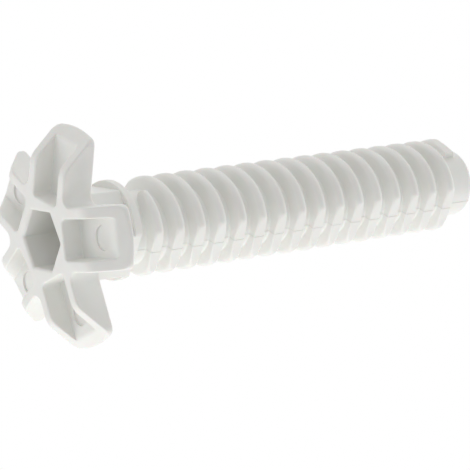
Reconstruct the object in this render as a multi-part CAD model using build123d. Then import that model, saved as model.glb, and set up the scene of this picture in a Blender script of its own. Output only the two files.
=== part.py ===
from build123d import *
import math
import os

# Screw-in levelling foot for an appliance base: one plastic moulding.
# Millimetres. The foot stands on its star head: z = 0 is the floor, the thread's axis is z,
# and the two flats along the thread face +x and -x.

# Star head
arm_count = 5
head_radius = 21.5
head_height = 6.5
arm_width = 12.0
tip_edge = 0.6
bevel_angle = 42.0
bend_rounding = 4.0
notch_rounding = 1.8
tip_rounding = 1.5

# Hollow in each arm, with the round ejector mark in its floor
hub_wall = 1.4
arm_wall = 2.1
tip_wall = 2.8
pocket_depth = 4.75
pocket_corner = 0.9
pocket_draft = 2.0
mark_radius = 2.2
mark_depth = 0.4

# Hexagon socket in the underside
socket_across_flats = 10.9
socket_depth = 14.0
mouth_rounding = 0.4

# Hexagon neck and collar
neck_height = 8.45
collar_radius = 9.75
collar_thickness = 1.6

# Coarse thread: one helical ridge with a flat land, cut flat on two sides
pitch = 5.0
turn_count = 16.03
thread_radius = 9.65
root_radius = 7.0
ridge_overlap = 1.0
crest_land = 1.7
flank_lean = 15.0
first_turn_angle = -99.0
first_turn_gap = 3.3
flat_distance = 8.33
lead_in_lean = 40.0
lead_in_rounding = 2.0
crest_clearance = 0.05
run_out_distance = 8.4

# Plain end above the thread
plain_end = 4.1
end_rounding = 0.9

os.makedirs("parts", exist_ok=True)

# Heights up the axis
collar_bottom = head_height + neck_height
collar_top = collar_bottom + collar_thickness
first_turn = collar_top + first_turn_gap
last_turn = first_turn + turn_count * pitch
foot_length = last_turn + plain_end

# Head: a flat star of straight arms round the hub.
arm_angles = [180 + i * 360 / arm_count for i in range(arm_count)]
star = Sketch()
for angle in arm_angles:
    star += Rot(0, 0, angle) * Pos(head_radius, 0) * Rectangle(2 * head_radius, arm_width)
inner_corner = arm_width / 2 / math.sin(math.pi / arm_count)
notches = [v for v in star.vertices() if abs(math.hypot(v.X, v.Y) - inner_corner) < 0.01]
star = fillet(notches, notch_rounding) & Circle(head_radius)
tips = [v for v in star.vertices() if math.hypot(v.X, v.Y) > head_radius - 0.01]
head = extrude(fillet(tips, tip_rounding), head_height)

# The underside of each arm bends softly up to a bevel, straight across the arm,
# that leaves a thin edge at the tip.
bevel_slope = math.tan(math.radians(bevel_angle))
bevel_start = head_radius - (head_height - tip_edge) / bevel_slope
bend_start = bevel_start - bend_rounding * math.tan(math.radians(bevel_angle / 2))
bend = JernArc((bend_start, 0), (1, 0), bend_rounding, bevel_angle)
past_tip = head_radius + tip_edge
rest = Polyline(
    bend @ 1,
    (past_tip, (past_tip - bevel_start) * bevel_slope),
    (past_tip, -tip_edge),
    (bend_start, -tip_edge),
    bend @ 0,
)
bevel = extrude(Plane.XZ * make_face([bend, rest]), arm_width, both=True)
for angle in arm_angles:
    head -= Rot(0, 0, angle) * bevel

# A drafted pocket in the underside of each arm, between the wall round the socket and the arm's tip.
socket_corner = socket_across_flats / math.sqrt(3)
pocket_start = socket_corner + hub_wall
pocket_end = head_radius - tip_wall
mouth = Rectangle(pocket_end - pocket_start, arm_width - 2 * arm_wall)
pocket = extrude(mouth, pocket_depth, taper=pocket_draft)
uprights = [e for e in pocket.edges() if abs((e % 0.5).Z) > 0.9]
pocket = fillet(uprights, pocket_corner)
pocket += extrude(Circle(mark_radius), pocket_depth + mark_depth)
for angle in arm_angles:
    head -= Rot(0, 0, angle) * Pos((pocket_start + pocket_end) / 2, 0) * pocket

# Neck: a spanner hexagon whose flats line up with the flats of the thread.
hexagon = RegularPolygon(flat_distance, 6, major_radius=False, rotation=30)
neck = Pos(0, 0, head_height) * extrude(hexagon, neck_height)

# The hexagon socket, eased round its mouth.
socket = extrude(RegularPolygon(socket_across_flats / 2, 6, major_radius=False, rotation=30), socket_depth)
base = head + neck - socket
base = fillet(base.edges().sort_by_distance((0, 0, 0))[:6], mouth_rounding)

# Core of the shank, rounded at its free end, with the collar at its foot.
core = Pos(0, 0, collar_bottom) * extrude(Circle(root_radius), foot_length - collar_bottom)
core = fillet(core.edges().sort_by(Axis.Z)[-1], end_rounding)
core += Pos(0, 0, collar_bottom) * extrude(Circle(collar_radius), collar_thickness)

# Thread ridge, laid in equal lengths of about one turn. Each is four helices through the corners
# of the ridge's section, joined by ruled sides.
buried_radius = root_radius - ridge_overlap
base_half = crest_land / 2 + (thread_radius - buried_radius) * math.tan(math.radians(flank_lean))
corners = [
    (thread_radius, -crest_land / 2),
    (thread_radius, crest_land / 2),
    (buried_radius, base_half),
    (buried_radius, -base_half),
]
lengths = round(turn_count)
turns_each = turn_count / lengths
helices = [Helix(pitch, turns_each * pitch, r, center=(0, 0, z)) for r, z in corners]
faces = [Face.make_surface_from_curves(helices[i - 1], helices[i]) for i in range(4)]
for end in (0, 1):
    ring = [h @ end for h in helices]
    faces.append(Face(Wire([Edge.make_line(ring[i - 1], ring[i]) for i in range(4)])))
one_length = Solid(Shell(faces))
ridge = []
for i in range(lengths):
    turned = Rot(0, 0, first_turn_angle + i * turns_each * 360)
    ridge.append(Pos(0, 0, first_turn + i * turns_each * pitch) * turned * one_length)

# The first turn ramps up out of the core and rounds over into the crest.
# The last one runs out against a flat.
room = 4 * thread_radius
ramp = Pos(root_radius, 0) * Rot(0, 0, lead_in_lean) * Pos(room / 2, -room / 2) * Rectangle(room, room)
lead_in = Circle(thread_radius + crest_clearance) - ramp
lead_in = fillet(lead_in.vertices().sort_by(Axis.Y)[-1], lead_in_rounding)
ramp_cut = extrude(Circle(room) - lead_in, pitch / 2, both=True)
ridge[0] -= Pos(0, 0, first_turn) * Rot(0, 0, first_turn_angle) * ramp_cut
last_angle = first_turn_angle + 360 * turn_count
run_out = Rot(0, 0, last_angle) * Pos(run_out_distance + room / 2, 0, last_turn)
ridge[-1] -= run_out * Box(room, room, pitch)

shank = core + ridge
shank &= Pos(0, 0, collar_bottom) * extrude(Rectangle(2 * flat_distance, room), foot_length)

foot = base + shank
export_step(foot, "parts/foot.step")
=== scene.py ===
import math

import bmesh
import bpy
from mathutils import Matrix, Vector
from mathutils.geometry import delaunay_2d_cdt


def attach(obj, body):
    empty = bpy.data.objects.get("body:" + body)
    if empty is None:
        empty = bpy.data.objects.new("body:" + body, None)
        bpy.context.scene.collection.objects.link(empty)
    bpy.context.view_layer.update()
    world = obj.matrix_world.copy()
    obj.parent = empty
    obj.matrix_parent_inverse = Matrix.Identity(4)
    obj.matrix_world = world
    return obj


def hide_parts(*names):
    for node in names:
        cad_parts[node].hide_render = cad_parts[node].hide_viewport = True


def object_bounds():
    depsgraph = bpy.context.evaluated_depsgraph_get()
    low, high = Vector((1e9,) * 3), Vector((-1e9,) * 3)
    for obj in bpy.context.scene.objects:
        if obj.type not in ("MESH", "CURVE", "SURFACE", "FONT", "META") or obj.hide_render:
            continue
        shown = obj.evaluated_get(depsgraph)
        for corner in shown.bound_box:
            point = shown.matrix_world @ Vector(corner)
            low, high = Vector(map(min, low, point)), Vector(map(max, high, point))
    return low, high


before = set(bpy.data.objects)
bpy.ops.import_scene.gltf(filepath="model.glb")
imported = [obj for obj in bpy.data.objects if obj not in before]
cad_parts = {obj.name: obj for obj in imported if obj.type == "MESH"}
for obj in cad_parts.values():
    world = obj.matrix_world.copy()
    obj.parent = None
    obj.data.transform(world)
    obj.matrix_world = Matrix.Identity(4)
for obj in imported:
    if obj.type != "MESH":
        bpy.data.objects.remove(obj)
cad_low, cad_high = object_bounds()

# White plastic
# The whole foot is one injection moulding in a hard, slightly warm white nylon. The tool leaves a satin skin
# with a faint grain and a cloudy sheen from the flow of the melt. Along the line where the two halves of the
# tool met, painted shade darkens the colour in place of the flash's shadow there, fainter towards the head.
warm_white, cool_white = (0.835, 0.831, 0.795, 1), (0.864, 0.865, 0.836, 1)
painted_shade_colour = (0.5, 0.49, 0.46, 1)

# Half the width of the painted shade and where it has faded, then the heights between which it grows, in
# metres.
painted_shade_half, painted_shade_faded = 0.00009, 0.00013
painted_shade_from, painted_shade_full = 0.012, 0.1

plastic = bpy.data.materials.new("white_nylon")
plastic.use_nodes = True
nodes, links = plastic.node_tree.nodes, plastic.node_tree.links
shader = nodes["Principled BSDF"]
shader.inputs["IOR"].default_value = 1.53
shader.inputs["Subsurface Weight"].default_value = 0.12
shader.inputs["Subsurface Scale"].default_value = 0.0008
place = nodes.new("ShaderNodeTexCoord").outputs["Object"]


def cloud(scale, detail, roughness=0.5):
    """Soft noise over the moulding; scale is in cycles a metre."""
    noise = nodes.new("ShaderNodeTexNoise")
    noise.inputs["Scale"].default_value = scale
    noise.inputs["Detail"].default_value = detail
    noise.inputs["Roughness"].default_value = roughness
    links.new(place, noise.inputs["Vector"])
    return noise.outputs["Fac"]


def spread(value, low, high, into_low, into_high):
    """Maps a value from low..high to into_low..into_high and stops at both ends."""
    ranged = nodes.new("ShaderNodeMapRange")
    for name, number in (("From Min", low), ("From Max", high), ("To Min", into_low), ("To Max", into_high)):
        ranged.inputs[name].default_value = number
    links.new(value, ranged.inputs["Value"])
    return ranged.outputs["Result"]


def product(value, other):
    """Two values multiplied."""
    multiplied = nodes.new("ShaderNodeMath")
    multiplied.operation = "MULTIPLY"
    links.new(value, multiplied.inputs[0])
    links.new(other, multiplied.inputs[1])
    return multiplied.outputs["Value"]


flow = spread(cloud(scale=160, detail=3), low=0.35, high=0.65, into_low=0, into_high=1)
tint = nodes.new("ShaderNodeMix")
tint.data_type = "RGBA"
tint.inputs["A"].default_value = warm_white
tint.inputs["B"].default_value = cool_white
links.new(flow, tint.inputs["Factor"])

# Painted shade: a thin dark band along the parting line at y = 0, unevenly strong and growing away from the
# head.
parted = nodes.new("ShaderNodeSeparateXYZ")
links.new(place, parted.inputs["Vector"])
off_line = nodes.new("ShaderNodeMath")
off_line.operation = "ABSOLUTE"
links.new(parted.outputs["Y"], off_line.inputs[0])
on_line = spread(off_line.outputs["Value"], low=painted_shade_half, high=painted_shade_faded, into_low=1, into_high=0)
on_shank = spread(parted.outputs["Z"], low=painted_shade_from, high=painted_shade_full, into_low=0, into_high=1)
uneven = spread(cloud(scale=70, detail=2), low=0.35, high=0.65, into_low=0.1, into_high=0.4)
painted_shade_mix = nodes.new("ShaderNodeMix")
painted_shade_mix.data_type = "RGBA"
painted_shade_mix.inputs["B"].default_value = painted_shade_colour
links.new(product(product(on_line, on_shank), uneven), painted_shade_mix.inputs["Factor"])
links.new(tint.outputs["Result"], painted_shade_mix.inputs["A"])
links.new(painted_shade_mix.outputs["Result"], shader.inputs["Base Color"])

sheen = spread(cloud(scale=420, detail=4, roughness=0.6), low=0.3, high=0.7, into_low=0.36, into_high=0.5)
links.new(sheen, shader.inputs["Roughness"])
grain = nodes.new("ShaderNodeBump")
grain.inputs["Strength"].default_value = 0.12
grain.inputs["Distance"].default_value = 0.00004
links.new(cloud(scale=3200, detail=3, roughness=0.65), grain.inputs["Height"])
links.new(grain.outputs["Normal"], shader.inputs["Normal"])

# Star head and hexagon neck
# The wide end that stands on the floor: five straight arms, hollow underneath, round a hexagon socket for a
# key, with a spanner hexagon above. Part of the one moulding; every rim is eased where the tool's edges were.
mm = 0.001
arm_angles = [math.radians(180 + 72 * i) for i in range(5)]
head_radius, head_height, half_arm = 21.5, 6.5, 6.0
notch_rounding, tip_rounding = 1.8, 1.5
notch_steps, arm_steps, tip_corner_steps, tip_steps = 5, 24, 6, 7
tip_edge, bevel_slope, bend_rounding = 0.6, math.radians(42), 4.0
bevel_start = head_radius - (head_height - tip_edge) / math.tan(bevel_slope)
edge_rounding, edge_share = 0.4, 0.42
socket_apothem, socket_corner, socket_depth = 5.45, 0.3, 14.0
mouth_rounding, bottom_easing = 0.6, 0.2
neck_apothem, neck_corner, neck_height = 8.33, 0.35, 8.45
neck_top = head_height + neck_height
neck_fillet, neck_overlap = 0.3, 0.6

# Each arm's hollow stands clear of the socket, the arm's sides and its tip by a wall. Its floor meets the
# bevel in a rounding, tip_blend.
hub_wall, arm_wall, tip_wall = 1.4, 2.1, 2.1
pocket_start = socket_apothem / math.cos(math.pi / 6) + hub_wall
pocket_end, pocket_half, pocket_corner = head_radius - tip_wall, half_arm - arm_wall, 0.9
pocket_depth, pocket_draft = 4.0, math.tan(math.radians(2))
pocket_rim, rim_share, floor_easing, tip_blend = 0.38, 0.45, 0.4, 1.5

# The round ejector mark in the floor, as steps outwards from its radius and deeper than the floor. One arm
# has none.
unmarked_arm = arm_angles[1]
mark_place, mark_radius, mark_points = 15.0, 2.4, 40
mark_profile = [(0.04, 0), (0, 0.06), (-0.02, 0.36)]

# A quarter round of radius one, as steps in from the side and down from the top.
quarter = [(1 - math.cos(q), 1 - math.sin(q)) for q in map(math.radians, (0, 22.5, 45, 67.5, 90))]

shell = bmesh.new()


def underside(x, y):
    """Height of the underside: flat under the hub, a soft bend, then each arm's bevel up to its tip."""
    along = max(x * math.cos(angle) + y * math.sin(angle) for angle in arm_angles)
    tangent = bend_rounding * math.tan(bevel_slope / 2)
    bend_from = bevel_start - tangent
    if along < bend_from:
        return 0.0
    if along < bevel_start + tangent * math.cos(bevel_slope):
        return bend_rounding - math.sqrt(bend_rounding**2 - (along - bend_from) ** 2)
    return (along - bevel_start) * math.tan(bevel_slope)


def easing(x, y):
    """Rim rounding of the head: less where the bevel leaves only a thin edge at the tips."""
    return min(edge_rounding, edge_share * (head_height - underside(x, y)))


def lip(x, y):
    """Rounding of a hollow's rim and of its floor: less where the floor runs out into the bevel."""
    return min(pocket_rim, rim_share * (pocket_depth - underside(x, y)))


def arc(centre, radius, start, end, count, facing=1):
    """Points on an arc as (x, y, normal x, normal y), ends included; angles in degrees."""
    points = []
    for i in range(count + 1):
        angle = math.radians(start + (end - start) * i / count)
        c, s = math.cos(angle), math.sin(angle)
        points.append((centre[0] + radius * c, centre[1] + radius * s, facing * c, facing * s))
    return points


def circle(centre, radius, count):
    """Points round a whole circle, with their normals."""
    return arc(centre, radius, 0, 360 - 360 / count, count - 1)


def straight(start, end, normal, count):
    """Points inside a straight side, its ends left out."""
    steps = [i / count for i in range(1, count)]
    return [(start[0] + (end[0] - start[0]) * t, start[1] + (end[1] - start[1]) * t, *normal) for t in steps]


def turned(points, angle):
    """The same points and normals turned about the axis."""
    c, s = math.cos(angle), math.sin(angle)
    return [(x * c - y * s, x * s + y * c, nx * c - ny * s, nx * s + ny * c) for x, y, nx, ny in points]


def rounded(centres, radius, corner_steps, side_steps):
    """A closed outline of equal round corners and the straight sides between them, starting from +x."""
    turn = 360 / len(centres)
    points = []
    for i, centre in enumerate(centres):
        points += arc(centre, radius, turn * i, turn * (i + 1), corner_steps)
        after = arc(centres[(i + 1) % len(centres)], radius, turn * (i + 1), turn * (i + 2), 1)[0]
        points += straight(points[-1], after, points[-1][2:], side_steps[i % len(side_steps)])
    return points


def star_outline():
    """The head's outline: notch, side, rounded corner, tip, corner, side and notch, for each arm in turn."""
    half_step = 180 / len(arm_angles)
    notch_y, corner_y = half_arm + notch_rounding, half_arm - tip_rounding
    notch_x = notch_y / math.tan(math.radians(half_step))
    corner_x = math.sqrt((head_radius - tip_rounding) ** 2 - corner_y**2)
    tip = math.degrees(math.atan2(corner_y, corner_x))
    lower = arc((notch_x, -notch_y), notch_rounding, 180 - half_step, 90, notch_steps, facing=-1)
    lower += straight((notch_x, -half_arm), (corner_x, -half_arm), (0, -1), arm_steps)
    lower += arc((corner_x, -corner_y), tip_rounding, -90, -tip, tip_corner_steps)
    lower += arc((0, 0), head_radius, -tip, 0, tip_steps)[1:]
    upper = [(x, -y, nx, -ny) for x, y, nx, ny in reversed(lower)]
    return [p for angle in arm_angles for p in turned(lower + upper[1:-1], angle)]


def hexagon(apothem, corner):
    """A hexagon with two sides square to x and slightly rounded corners."""
    middle = (apothem - corner) / math.cos(math.pi / 6)
    angles = [math.radians(30 + 60 * i) for i in range(6)]
    centres = [(middle * math.cos(angle), middle * math.sin(angle)) for angle in angles]
    return rounded(centres, corner, corner_steps=4, side_steps=[6])


def pocket_outline():
    """The mouth of one arm's hollow: a rectangle with rounded corners along the arm."""
    low, high, side = pocket_start + pocket_corner, pocket_end - pocket_corner, pocket_half - pocket_corner
    centres = [(high, side), (low, side), (low, -side), (high, -side)]
    return rounded(centres, pocket_corner, corner_steps=5, side_steps=[28, 10])


def ring(points, offset, height):
    """A loop of vertices at an offset along each point's normal; both may follow the place."""
    made = []
    for x, y, nx, ny in points:
        step = offset(x, y) if callable(offset) else offset
        px, py = x + nx * step, y + ny * step
        z = height(px, py) if callable(height) else height
        made.append(shell.verts.new((px * mm, py * mm, z * mm)))
    return made


def bands(rings):
    """Strips of quads from each loop to the next, all loops of the same length."""
    for lower, upper in zip(rings, rings[1:]):
        for i in range(len(lower)):
            shell.faces.new((lower[i - 1], lower[i], upper[i], upper[i - 1]))


def sheet(outer, holes):
    """Fills the surface between an outer loop and its holes, working inwards from the outer edge."""
    verts = [v for loop in (outer, *holes) for v in loop]
    edges, start = [], 0
    for loop in (outer, *holes):
        edges += [(start + (i - 1) % len(loop), start + i) for i in range(len(loop))]
        start += len(loop)
    flat = [Vector((v.co.x / mm, v.co.y / mm)) for v in verts]
    _, _, triangles, origins, _, _ = delaunay_2d_cdt(flat, edges, [], 0, 1e-7)
    triangles = [[origins[i][0] for i in triangle] for triangle in triangles]
    beside = {(t[i - 1], t[i]): t for t in triangles for i in range(3)}
    fences = {frozenset(edge) for edge in edges}
    waiting = [beside[edge] for edge in edges[: len(outer)]]
    done = set()
    while waiting:
        triangle = waiting.pop()
        if tuple(triangle) in done:
            continue
        done.add(tuple(triangle))
        shell.faces.new([verts[i] for i in triangle])
        across = [(triangle[i], triangle[i - 1]) for i in range(3)]
        waiting += [beside[edge] for edge in across if frozenset(edge) not in fences]


star = star_outline()
under_rim = [
    ring(
        star,
        lambda x, y: -easing(x, y) * inward,
        lambda x, y: underside(x, y) + easing(x, y) * down,
    )
    for inward, down in reversed(quarter)
]
upper_rim = [
    ring(
        star,
        lambda x, y: -easing(x, y) * inward,
        lambda x, y: head_height - easing(x, y) * down,
    )
    for inward, down in quarter
]
bands(under_rim + upper_rim)

socket = hexagon(socket_apothem, socket_corner)
mouth = [ring(socket, mouth_rounding * inward, mouth_rounding * down) for inward, down in reversed(quarter)]
mouth.append(ring(socket, 0, socket_depth - bottom_easing))
mouth.append(ring(socket, -bottom_easing, socket_depth))
bands(mouth)
shell.faces.new(mouth[-1])

pocket_mouths = []
run_out = bevel_start + pocket_depth / math.tan(bevel_slope)
floor_end = run_out - tip_blend * math.tan(bevel_slope / 2)
for angle in arm_angles:
    pocket = turned(pocket_outline(), angle)
    rings = [
        ring(
            pocket,
            lambda x, y: lip(x, y) * inward - (underside(x, y) + lip(x, y)) * pocket_draft,
            lambda x, y: underside(x, y) + lip(x, y) * down,
        )
        for inward, down in reversed(quarter)
    ]
    rings += [
        ring(
            pocket,
            lambda x, y: -pocket_depth * pocket_draft - floor_easing * lip(x, y) * inward,
            lambda x, y: pocket_depth - floor_easing * lip(x, y) * down,
        )
        for inward, down in quarter
    ]
    arm = Vector((math.cos(angle), math.sin(angle), 0))
    for i, loop in enumerate(rings):
        lean = bevel_slope * (1 - i / (len(rings) - 1))
        reach = (floor_end + tip_blend * math.sin(lean)) * mm
        level = (pocket_depth + tip_blend * (1 - math.cos(lean))) * mm
        for vert, (_, _, nx, ny) in zip(loop, pocket):
            share = max(nx * arm.x + ny * arm.y, 0)
            vert.co += arm * (reach - vert.co.dot(arm)) * share
            vert.co.z += (level - vert.co.z) * share
    bands(rings)
    pocket_mouths.append(rings[0])
    if angle == unmarked_arm:
        sheet(rings[-1], [])
        continue
    mark = circle((mark_place * math.cos(angle), mark_place * math.sin(angle)), mark_radius, mark_points)
    marks = [ring(mark, outward, pocket_depth + deeper) for outward, deeper in mark_profile]
    bands(marks)
    shell.faces.new(marks[-1])
    sheet(rings[-1], [marks[0]])

sheet(under_rim[0], [mouth[0], *pocket_mouths])

neck = hexagon(neck_apothem, neck_corner)
neck_rings = [ring(neck, neck_fillet * down, head_height + neck_fillet * inward) for inward, down in quarter]
neck_rings.append(ring(neck, 0, neck_top + neck_overlap))
bands(neck_rings)
shell.faces.new(neck_rings[-1])
sheet(upper_rim[-1], [neck_rings[0]])


def piece_from(name, mesh_maker):
    """A closed shell as an object of its own, its faces turned outwards."""
    bmesh.ops.recalc_face_normals(mesh_maker, faces=mesh_maker.faces)
    mesh = bpy.data.meshes.new(name)
    mesh_maker.to_mesh(mesh)
    mesh_maker.free()
    mesh.materials.append(plastic)
    made = bpy.data.objects.new(name, mesh)
    bpy.context.scene.collection.objects.link(made)
    return made


head = piece_from("star_head", shell)

# Collar and core of the shank
# A thin collar closes off the neck, cut flat on two sides like the thread, and the round core of the shank
# runs from it to the plain rounded end. Both are turned forms in the same moulding.
flat_distance, flat_clearance = neck_apothem, 0.01
collar_radius, collar_thickness, collar_rim = 9.75, 1.6, 0.25
collar_low, collar_high = neck_top, neck_top + collar_thickness
round_steps, flat_steps = 36, 10
root_radius, foot_length, end_rounding = 7.0, cad_high[2] / mm, 0.9
core_fillet, core_overlap, core_points = 0.3, 0.8, 144

shell = bmesh.new()
edge_angle = math.degrees(math.acos((flat_distance + flat_clearance) / collar_radius))
collar = []
for facing, flat_normal in ((0, (-1, 0)), (180, (1, 0))):
    collar += arc((0, 0), collar_radius, facing + edge_angle, facing + 180 - edge_angle, round_steps)
    flat_x, flat_y = collar[-1][:2]
    collar += straight((flat_x, flat_y), (flat_x, -flat_y), flat_normal, flat_steps)
collar_rings = [
    ring(collar, -collar_rim * inward, collar_low + collar_rim * down) for inward, down in reversed(quarter)
]
collar_rings += [
    ring(collar, -collar_rim * inward, collar_high - collar_rim * down) for inward, down in quarter
]
bands(collar_rings)
shell.faces.new(collar_rings[0])
shell.faces.new(collar_rings[-1])
collar_disc = piece_from("collar", shell)

shell = bmesh.new()
core = circle((0, 0), root_radius, core_points)
core_rings = [ring(core, core_fillet, collar_high - core_overlap)]
core_rings += [ring(core, core_fillet * down, collar_high + core_fillet * inward) for inward, down in quarter]
core_rings += [
    ring(core, -end_rounding * inward, foot_length - end_rounding * down) for inward, down in quarter
]
bands(core_rings)
shell.faces.new(core_rings[0])
shell.faces.new(core_rings[-1])
core_bar = piece_from("core", shell)

# Coarse thread
# One right-hand ridge with a flat land climbs the core in sixteen turns, cut flat on two sides so that a
# sprung seat can ride over it. It ramps up out of the core above the collar and runs out against a flat by
# the plain end.
rim_rounding, soft_rim_rounding, root_rounding = 0.55, 0.8, 0.25
buried, root_skin = 0.5, 0.02
first_turn_gap = 3.3

# Limits that keep divisors and widths above zero, away from the stretch of thread that each is meant for.
least_cosine, least_angle, widest_angle, least_taper = 0.1, 0.02, 1.2, 0.002

# Each row of the ridge's section starts from the root or the crest and steps out and along the axis.
section_rows = [("root", -buried, root_rounding), ("root", -root_skin, root_rounding)]
section_rows += [
    ("root", root_rounding * down, root_rounding * inward) for inward, down in reversed(quarter[:-1])
]
rims = {
    r: [("crest", -r * down, -r * inward) for inward, down in quarter]
    for r in (rim_rounding, soft_rim_rounding)
}
rows = [(-1, *row) for row in section_rows + rims[soft_rim_rounding]]
rows += [(1, *row) for row in reversed(section_rows + rims[rim_rounding])]
rows.append(rows[0])
section = bpy.data.meshes.new("ridge_section")
section.from_pydata([(0, 0, 0)] * len(rows), [], [])
for name, values in (
    ("side", [row[0] for row in rows]),
    ("from_crest", [float(row[1] == "crest") for row in rows]),
    ("radial", [row[2] * mm for row in rows]),
    ("axial", [row[3] * mm for row in rows]),
):
    section.attributes.new(name, "FLOAT", "POINT").data.foreach_set("value", values)
ridge = bpy.data.objects.new("thread_ridge", section)
bpy.context.scene.collection.objects.link(ridge)

tree = bpy.data.node_groups.new("thread_ridge", "GeometryNodeTree")
tree.interface.new_socket("Section", in_out="INPUT", socket_type="NodeSocketGeometry")
tree.interface.new_socket("Ridge", in_out="OUTPUT", socket_type="NodeSocketGeometry")
sizes = {
    "Pitch": 5.0 * mm,
    "Turns": 16.03,
    "Crest radius": 9.65 * mm,
    "Root radius": root_radius * mm,
    "Crest land": 1.7 * mm,
    "Flank lean": math.tan(math.radians(15)),
    "Flat distance": flat_distance * mm,
    "Start angle": math.radians(-99),
    "Start height": (collar_high + first_turn_gap) * mm,
    "Lead-in lean": math.radians(40),
    "Lead-in rounding": 2.2 * mm,
    "Lead-in taper": math.radians(50),
    "Rim kept on flats": 0.35,
    "Run-out distance": 8.4 * mm,
    "Steps a turn": 144.0,
}
ridge_maker = ridge.modifiers.new("thread", "NODES")
ridge_maker.node_group = tree
for name, value in sizes.items():
    socket_made = tree.interface.new_socket(name, in_out="INPUT", socket_type="NodeSocketFloat")
    ridge_maker[socket_made.identifier] = value
given = tree.nodes.new("NodeGroupInput").outputs
result = tree.nodes.new("NodeGroupOutput").inputs


def calc(operation, *values):
    """One math step of a tree's rule, on sockets or plain numbers."""
    node = tree.nodes.new("ShaderNodeMath")
    node.operation = operation
    for value, into in zip(values, node.inputs):
        if isinstance(value, (int, float)):
            into.default_value = value
        else:
            tree.links.new(value, into)
    return node.outputs[0]


def row_value(name):
    """A value of the ridge's section, read for the row that a grid point belongs to."""
    stored = tree.nodes.new("GeometryNodeInputNamedAttribute")
    stored.data_type = "FLOAT"
    stored.inputs["Name"].default_value = name
    picked = tree.nodes.new("GeometryNodeSampleIndex")
    tree.links.new(given["Section"], picked.inputs["Geometry"])
    tree.links.new(stored.outputs["Attribute"], picked.inputs["Value"])
    tree.links.new(row, picked.inputs["Index"])
    return picked.outputs["Value"]


# A grid with a column for each step of the climb, and one more that closes the end, and a row for each row
# of the section.
counted = tree.nodes.new("GeometryNodeAttributeDomainSize")
tree.links.new(given["Section"], counted.inputs["Geometry"])
row_count = counted.outputs["Point Count"]
steps = calc("ROUND", calc("MULTIPLY", given["Turns"], given["Steps a turn"]))
grid = tree.nodes.new("GeometryNodeMeshGrid")
tree.links.new(calc("ADD", steps, 2), grid.inputs["Vertices X"])
tree.links.new(row_count, grid.inputs["Vertices Y"])
index = tree.nodes.new("GeometryNodeInputIndex").outputs["Index"]
column = calc("FLOOR", calc("DIVIDE", calc("ADD", index, 0.5), row_count))
row = calc("SUBTRACT", index, calc("MULTIPLY", column, row_count))
side, from_crest = row_value("side"), row_value("from_crest")
whole_climb = calc("MULTIPLY", given["Turns"], 2 * math.pi)
climb = calc("MULTIPLY", calc("DIVIDE", calc("MINIMUM", column, steps), steps), whole_climb)
angle = calc("ADD", given["Start angle"], climb)

# How far out the crest lies: the full radius, the ramp of the lead-in, the flats or the run-out.
across_flats = calc("MAXIMUM", calc("ABSOLUTE", calc("COSINE", angle)), least_cosine)
flat_reach = calc("DIVIDE", given["Flat distance"], across_flats)
left_of_ramp = calc("MAXIMUM", calc("SUBTRACT", given["Lead-in lean"], climb), least_angle)
ramp_distance = calc("MULTIPLY", given["Root radius"], calc("SINE", given["Lead-in lean"]))
ramp_reach = calc("DIVIDE", ramp_distance, calc("SINE", left_of_ramp))
to_the_end = calc("MINIMUM", calc("SUBTRACT", whole_climb, climb), widest_angle)
run_out_reach = calc("DIVIDE", given["Run-out distance"], calc("COSINE", to_the_end))
rising = calc("SMOOTH_MIN", given["Crest radius"], ramp_reach, given["Lead-in rounding"])
crest = calc("MINIMUM", calc("MINIMUM", rising, flat_reach), run_out_reach)

# The rim's rounding shrinks where the crest is cut down, and the last column sinks into the core.
above_flat = calc("SUBTRACT", crest, given["Flat distance"])
full_height = calc("SUBTRACT", given["Crest radius"], given["Flat distance"])
on_crest = calc("MAXIMUM", calc("DIVIDE", above_flat, full_height), given["Rim kept on flats"])
rooted = calc("SUBTRACT", 1, from_crest)
rim_scale = calc("ADD", rooted, calc("MULTIPLY", from_crest, on_crest))
base = calc("ADD", calc("MULTIPLY", crest, from_crest), calc("MULTIPLY", given["Root radius"], rooted))
radius = calc("MINIMUM", calc("ADD", base, calc("MULTIPLY", row_value("radial"), rim_scale)), crest)
past_end = calc("GREATER_THAN", column, steps)
sunk = calc("MINIMUM", radius, calc("SUBTRACT", given["Root radius"], buried * mm))
on_ridge = calc("MULTIPLY", radius, calc("SUBTRACT", 1, past_end))
radius = calc("ADD", on_ridge, calc("MULTIPLY", sunk, past_end))

# Half the ridge's width at that radius. The side towards the head narrows to a point along the lead-in.
lean_out = calc("MULTIPLY", calc("SUBTRACT", given["Crest radius"], radius), given["Flank lean"])
flank = calc("ADD", calc("DIVIDE", given["Crest land"], 2), lean_out)
half_width = calc("ADD", flank, calc("MULTIPLY", row_value("axial"), rim_scale))
begun = calc("MAXIMUM", calc("MINIMUM", calc("DIVIDE", climb, given["Lead-in taper"]), 1), least_taper)
tapered = calc("SQRT", calc("MULTIPLY", begun, calc("SUBTRACT", 2, begun)))
head_side = calc("MULTIPLY", calc("SUBTRACT", 1, side), 0.5)
narrowed = calc("MULTIPLY", head_side, calc("MULTIPLY", calc("SUBTRACT", 1, tapered), 2))
out_from_middle = calc("MULTIPLY", half_width, calc("MULTIPLY", side, calc("SUBTRACT", 1, narrowed)))
turns_climbed = calc("DIVIDE", climb, 2 * math.pi)
height = calc("ADD", given["Start height"], calc("MULTIPLY", given["Pitch"], turns_climbed))

placed = tree.nodes.new("ShaderNodeCombineXYZ")
tree.links.new(calc("MULTIPLY", radius, calc("COSINE", angle)), placed.inputs["X"])
tree.links.new(calc("MULTIPLY", radius, calc("SINE", angle)), placed.inputs["Y"])
tree.links.new(calc("ADD", height, out_from_middle), placed.inputs["Z"])
wrapped = tree.nodes.new("GeometryNodeSetPosition")
tree.links.new(grid.outputs["Mesh"], wrapped.inputs["Geometry"])
tree.links.new(placed.outputs["Vector"], wrapped.inputs["Position"])
welded = tree.nodes.new("GeometryNodeMergeByDistance")
welded.inputs["Distance"].default_value = 1e-6
tree.links.new(wrapped.outputs["Geometry"], welded.inputs["Geometry"])


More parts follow.
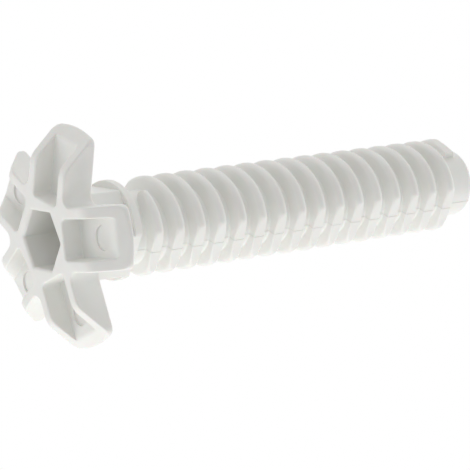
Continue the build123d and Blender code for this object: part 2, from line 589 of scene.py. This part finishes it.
def finish_tree(geometry, output):
    """Ends a tree: instances made real, then the plastic set."""
    realized = tree.nodes.new("GeometryNodeRealizeInstances")
    tree.links.new(geometry, realized.inputs["Geometry"])
    coated = tree.nodes.new("GeometryNodeSetMaterial")
    coated.inputs["Material"].default_value = plastic
    tree.links.new(realized.outputs["Geometry"], coated.inputs["Geometry"])
    tree.links.new(coated.outputs["Geometry"], output)


def plain_mesh(obj):
    """The object's mesh with its modifiers applied."""
    graph = bpy.context.evaluated_depsgraph_get()
    return bpy.data.meshes.new_from_object(obj.evaluated_get(graph))


finish_tree(welded.outputs["Geometry"], result["Ridge"])
swept = bmesh.new()
swept.from_mesh(plain_mesh(ridge))
bpy.data.objects.remove(ridge)
bmesh.ops.holes_fill(swept, edges=[e for e in swept.edges if e.is_boundary], sides=0)
thread = piece_from("thread", swept)

# Parting line
# The two halves of the tool meet along the middle of both flats. They leave a hair of flash there, over every
# ridge and along the core in between, that is part of the moulding.
flash_half, flash_stand = 0.09, 0.06
ridges_a_side = 16
first_ridge = sizes["Start height"] - sizes["Pitch"] * sizes["Start angle"] / (2 * math.pi)

# Half the flash over one ridge as (x, z) from its middle: in the core, at the rim and on the flat.
ridge_half = [(6.2, 1.83), (8.2, 1.29), (flat_distance + flash_stand, 1.06)]


def plate(name, outline):
    """A thin upright plate across y = 0 with the given outline in x and z."""
    maker = bmesh.new()
    near = [maker.verts.new((x * mm, -flash_half * mm, z * mm)) for x, z in outline]
    far = [maker.verts.new((x * mm, flash_half * mm, z * mm)) for x, z in outline]
    maker.faces.new(near)
    maker.faces.new(reversed(far))
    for i in range(len(outline)):
        maker.faces.new((near[i - 1], far[i - 1], far[i], near[i]))
    return piece_from(name, maker)


core_side = [(root_radius + flash_stand, collar_high - core_fillet)]
core_side += [
    (root_radius + flash_stand - end_rounding * inward, foot_length - end_rounding * down)
    for inward, down in quarter
]
core_flash = plate("core_flash", core_side + [(-x, z) for x, z in reversed(core_side)])
ridge_flash = plate("ridge_flash", ridge_half + [(x, -z) for x, z in reversed(ridge_half)])

tree = bpy.data.node_groups.new("parting_line", "GeometryNodeTree")
tree.interface.new_socket("Flash of one ridge", in_out="INPUT", socket_type="NodeSocketGeometry")
tree.interface.new_socket("Flash", in_out="OUTPUT", socket_type="NodeSocketGeometry")
flash_maker = ridge_flash.modifiers.new("repeat", "NODES")
flash_maker.node_group = tree
for name, kind, value in (
    ("Pitch", "NodeSocketFloat", sizes["Pitch"]),
    ("First ridge", "NodeSocketFloat", first_ridge),
    ("Ridges a side", "NodeSocketInt", ridges_a_side),
):
    socket_made = tree.interface.new_socket(name, in_out="INPUT", socket_type=kind)
    flash_maker[socket_made.identifier] = value
given = tree.nodes.new("NodeGroupInput").outputs
result = tree.nodes.new("NodeGroupOutput").inputs
both_sides = tree.nodes.new("GeometryNodeJoinGeometry")
for half_turns in (0, 1):
    climbed = calc("ADD", given["First ridge"], calc("MULTIPLY", given["Pitch"], half_turns / 2))
    row_of_points = tree.nodes.new("GeometryNodeMeshLine")
    tree.links.new(given["Ridges a side"], row_of_points.inputs["Count"])
    for height_at, into in ((climbed, "Start Location"), (given["Pitch"], "Offset")):
        upright = tree.nodes.new("ShaderNodeCombineXYZ")
        tree.links.new(height_at, upright.inputs["Z"])
        tree.links.new(upright.outputs["Vector"], row_of_points.inputs[into])
    repeated = tree.nodes.new("GeometryNodeInstanceOnPoints")
    repeated.inputs["Rotation"].default_value = (0, 0, half_turns * math.pi)
    tree.links.new(row_of_points.outputs["Mesh"], repeated.inputs["Points"])
    tree.links.new(given["Flash of one ridge"], repeated.inputs["Instance"])
    tree.links.new(repeated.outputs["Instances"], both_sides.inputs["Geometry"])
finish_tree(both_sides.outputs["Geometry"], result["Flash"])
ridge_flash.data = plain_mesh(ridge_flash)
ridge_flash.modifiers.clear()

# One moulding
# Head, collar, core and thread come out of the tool as a single piece, so the closed forms are united into
# one skin. Flat faces stay flat and only the eased rims are shaded round.
sharpest_round = math.radians(38)
added = (collar_disc, core_bar, thread, core_flash, ridge_flash)
for part in added:
    joined = head.modifiers.new("with_" + part.name, "BOOLEAN")
    joined.operation = "UNION"
    joined.solver = "MANIFOLD"
    joined.object = part
moulding_mesh = plain_mesh(head)
for part in (head, *added):
    bpy.data.objects.remove(part)
moulding_mesh.name = "foot_moulding"
moulding_mesh.shade_smooth()
moulding_mesh.set_sharp_from_angle(angle=sharpest_round)
foot = bpy.data.objects.new("foot_moulding", moulding_mesh)
bpy.context.scene.collection.objects.link(foot)
weighted = foot.modifiers.new("flat_faces", "WEIGHTED_NORMAL")
weighted.keep_sharp = True
weighted.weight = 60
foot.data = plain_mesh(foot)
foot.modifiers.clear()
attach(foot, "root")
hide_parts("foot")

# Floor
# A plain pale surface under the head. It takes the foot's shadow from above; from below it isn't there,
# because the photograph looks up at the hollow underside.
floor_reach, floor_level, floor_colour = 1.5, -0.0001, (0.86, 0.86, 0.86, 1)
floor_mesh = bpy.data.meshes.new("floor")
floor_corners = [(-1, -1), (1, -1), (1, 1), (-1, 1)]
floor_mesh.from_pydata(
    [(x * floor_reach, y * floor_reach, floor_level) for x, y in floor_corners], [], [(0, 1, 2, 3)]
)
floor = bpy.data.objects.new("floor", floor_mesh)
bpy.context.scene.collection.objects.link(floor)
pale = bpy.data.materials.new("pale_floor")
pale.use_nodes = True
floor_nodes, floor_links = pale.node_tree.nodes, pale.node_tree.links
floor_shader = floor_nodes["Principled BSDF"]
floor_shader.inputs["Base Color"].default_value = floor_colour
floor_shader.inputs["Roughness"].default_value = 0.9
clear = floor_nodes.new("ShaderNodeBsdfTransparent")
floor_path = floor_nodes.new("ShaderNodeLightPath").outputs
back = floor_nodes.new("ShaderNodeNewGeometry").outputs["Backfacing"]
front = floor_nodes.new("ShaderNodeMath")
front.operation = "SUBTRACT"
front.inputs[0].default_value = 1
floor_links.new(back, front.inputs[1])
seen = floor_nodes.new("ShaderNodeMath")
seen.operation = "MULTIPLY"
floor_links.new(floor_path["Is Camera Ray"], seen.inputs[0])
floor_links.new(front.outputs[0], seen.inputs[1])
shown = floor_nodes.new("ShaderNodeMixShader")
floor_links.new(seen.outputs[0], shown.inputs["Fac"])
floor_links.new(clear.outputs[0], shown.inputs[1])
floor_links.new(floor_shader.outputs[0], shown.inputs[2])
floor_links.new(shown.outputs[0], floor_nodes["Material Output"].inputs["Surface"])
floor_mesh.materials.append(pale)

# Studio light
# A pale tent all round the foot and five soft boxes, the strongest low down beside the head. The camera and
# reflections see the tent as plain white.
tent_white, tent_strength, lamp_target = (1, 1, 1, 1), 0.575, Vector((0, 0, 0.05))
world = bpy.data.worlds.new("white_tent")
bpy.context.scene.world = world
world.use_nodes = True
tent_nodes, tent_links = world.node_tree.nodes, world.node_tree.links
tent = tent_nodes["Background"]
tent.inputs["Color"].default_value = tent_white
tent.inputs["Strength"].default_value = tent_strength
backdrop = tent_nodes.new("ShaderNodeBackground")
backdrop.inputs["Color"].default_value = tent_white
backdrop.inputs["Strength"].default_value = 1.0
tent_path = tent_nodes.new("ShaderNodeLightPath").outputs
seen_plain = tent_path["Is Camera Ray"]
for kind in ("Is Glossy Ray", "Is Transmission Ray"):
    either = tent_nodes.new("ShaderNodeMath")
    either.operation = "MAXIMUM"
    tent_links.new(seen_plain, either.inputs[0])
    tent_links.new(tent_path[kind], either.inputs[1])
    seen_plain = either.outputs[0]
tent_mix = tent_nodes.new("ShaderNodeMixShader")
tent_links.new(seen_plain, tent_mix.inputs["Fac"])
tent_links.new(tent.outputs[0], tent_mix.inputs[1])
tent_links.new(backdrop.outputs[0], tent_mix.inputs[2])
tent_links.new(tent_mix.outputs[0], tent_nodes["World Output"].inputs["Surface"])


def soft_lamp(name, spot, size, power):
    """A square soft box that faces the middle of the foot."""
    light = bpy.data.lights.new(name, "AREA")
    light.shape = "SQUARE"
    light.size = size
    light.energy = power
    lamp = bpy.data.objects.new(name, light)
    lamp.location = spot
    lamp.rotation_euler = (lamp_target - Vector(spot)).to_track_quat("-Z", "Y").to_euler()
    bpy.context.scene.collection.objects.link(lamp)


soft_lamp("lamp_near_floor", spot=(0.398, 0.443, -0.020), size=0.6, power=1.92)
soft_lamp("lamp_under", spot=(-0.324, 0.166, -0.427), size=0.5, power=0.56)
soft_lamp("lamp_under_side", spot=(0.020, 0.458, -0.338), size=0.5, power=0.52)
soft_lamp("lamp_overhead", spot=(0.120, 0.0, 0.635), size=0.5, power=1.3)
soft_lamp("lamp_behind", spot=(-0.352, -0.481, 0.122), size=0.5, power=0.72)

# Camera
# It stands where the photograph was taken: below the head and to one side, turned so that the thread runs
# to the right.
camera_place = (0.27804, -0.23859, -0.22663)
picture_right = Vector((0.54040, -0.27747, 0.79434))
picture_down = Vector((0.58659, 0.80106, -0.11926))
camera_data = bpy.data.cameras.new("camera")
camera_data.sensor_width = 36
camera_data.lens = 175.1
camera_data.clip_start, camera_data.clip_end = 0.01, 10
camera = bpy.data.objects.new("camera", camera_data)
turn = Matrix((picture_right, -picture_down, picture_right.cross(-picture_down))).transposed()
camera.matrix_world = Matrix.Translation(camera_place) @ turn.to_4x4()
bpy.context.scene.collection.objects.link(camera)
bpy.context.scene.camera = camera
bpy.context.scene.view_settings.view_transform = "Standard"
